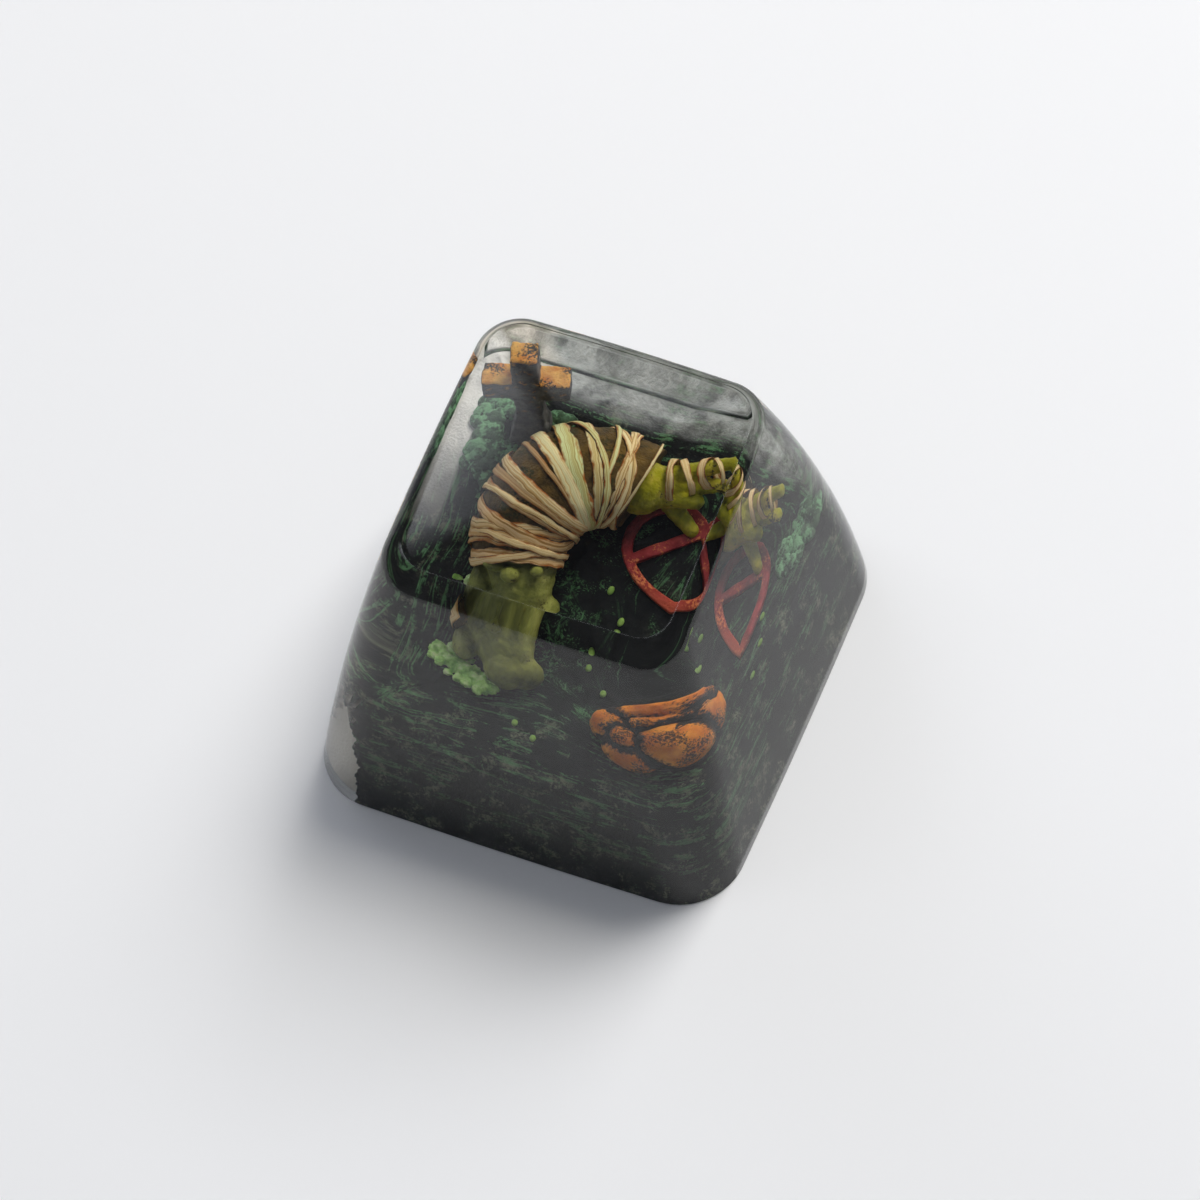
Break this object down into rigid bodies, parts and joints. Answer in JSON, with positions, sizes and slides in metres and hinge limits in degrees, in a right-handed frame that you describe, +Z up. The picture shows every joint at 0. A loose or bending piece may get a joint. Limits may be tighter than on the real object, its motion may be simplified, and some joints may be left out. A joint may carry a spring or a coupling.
{
  "type": "artisan keycap",
  "caption": "Clear resin keyboard keycap with a sloped, dished top, a small graveyard scene cast inside over dark ground, and a cross-socket stem in its hollow underside.",
  "frame": {"origin": "centre of the rim that the cap stands on", "axes": "+Z up out of the top, +Y to the back of the keyboard, -Y towards the typist"},
  "size_m": [0.018, 0.0179, 0.0133],
  "materials": {
    "clear_resin": "clear, polished",
    "dark_ground": "dark, mottled",
    "wrapping": "painted, satin",
    "stone": "painted, speckled",
    "pumpkin_orange": "painted, satin",
    "frame_red": "painted, satin",
    "leaf_green": "painted, satin",
    "moss_green": "painted, rough"
  },
  "bodies": {
    "root": {"clear_resin": "clear_resin", "ground_base": "dark_ground", "wrapped_figure": "wrapping", "grave_cross": "stone", "pumpkin": "pumpkin_orange", "red_frame": "frame_red", "leaf_sprig": "leaf_green", "moss_clumps": "moss_green"}
  },
  "joints": []
}
